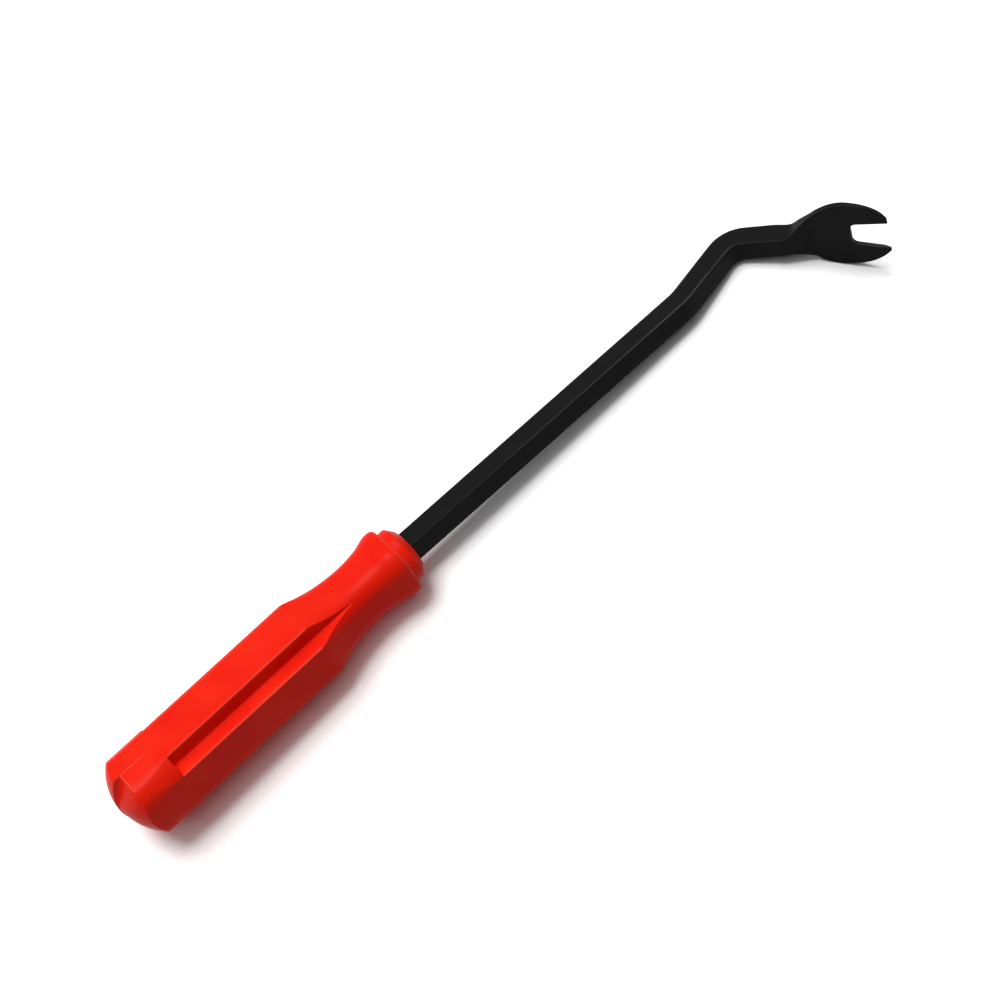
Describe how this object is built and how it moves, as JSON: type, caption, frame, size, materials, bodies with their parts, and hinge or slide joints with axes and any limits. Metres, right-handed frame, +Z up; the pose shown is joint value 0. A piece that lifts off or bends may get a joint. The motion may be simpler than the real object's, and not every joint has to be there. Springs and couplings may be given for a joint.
{
  "type": "door panel clip driver",
  "caption": "Hand tool with a grooved moulded handle and a cranked square steel bar that ends in a flat notched fork, for prising out the clips that hold door panels.",
  "frame": {"origin": "on the surface that the tool lies on, under the middle of the whole tool", "axes": "+X along the handle towards the fork, +Z up from the surface it lies on, -Y the side that the crank and fork turn to"},
  "size_m": [0.2598, 0.0474, 0.0272],
  "materials": {
    "handle_plastic": "satin gloss moulding, red",
    "blade_steel": "semi-gloss black coating over steel"
  },
  "bodies": {
    "root": {"handle": "handle_plastic", "blade": "blade_steel"}
  },
  "joints": []
}
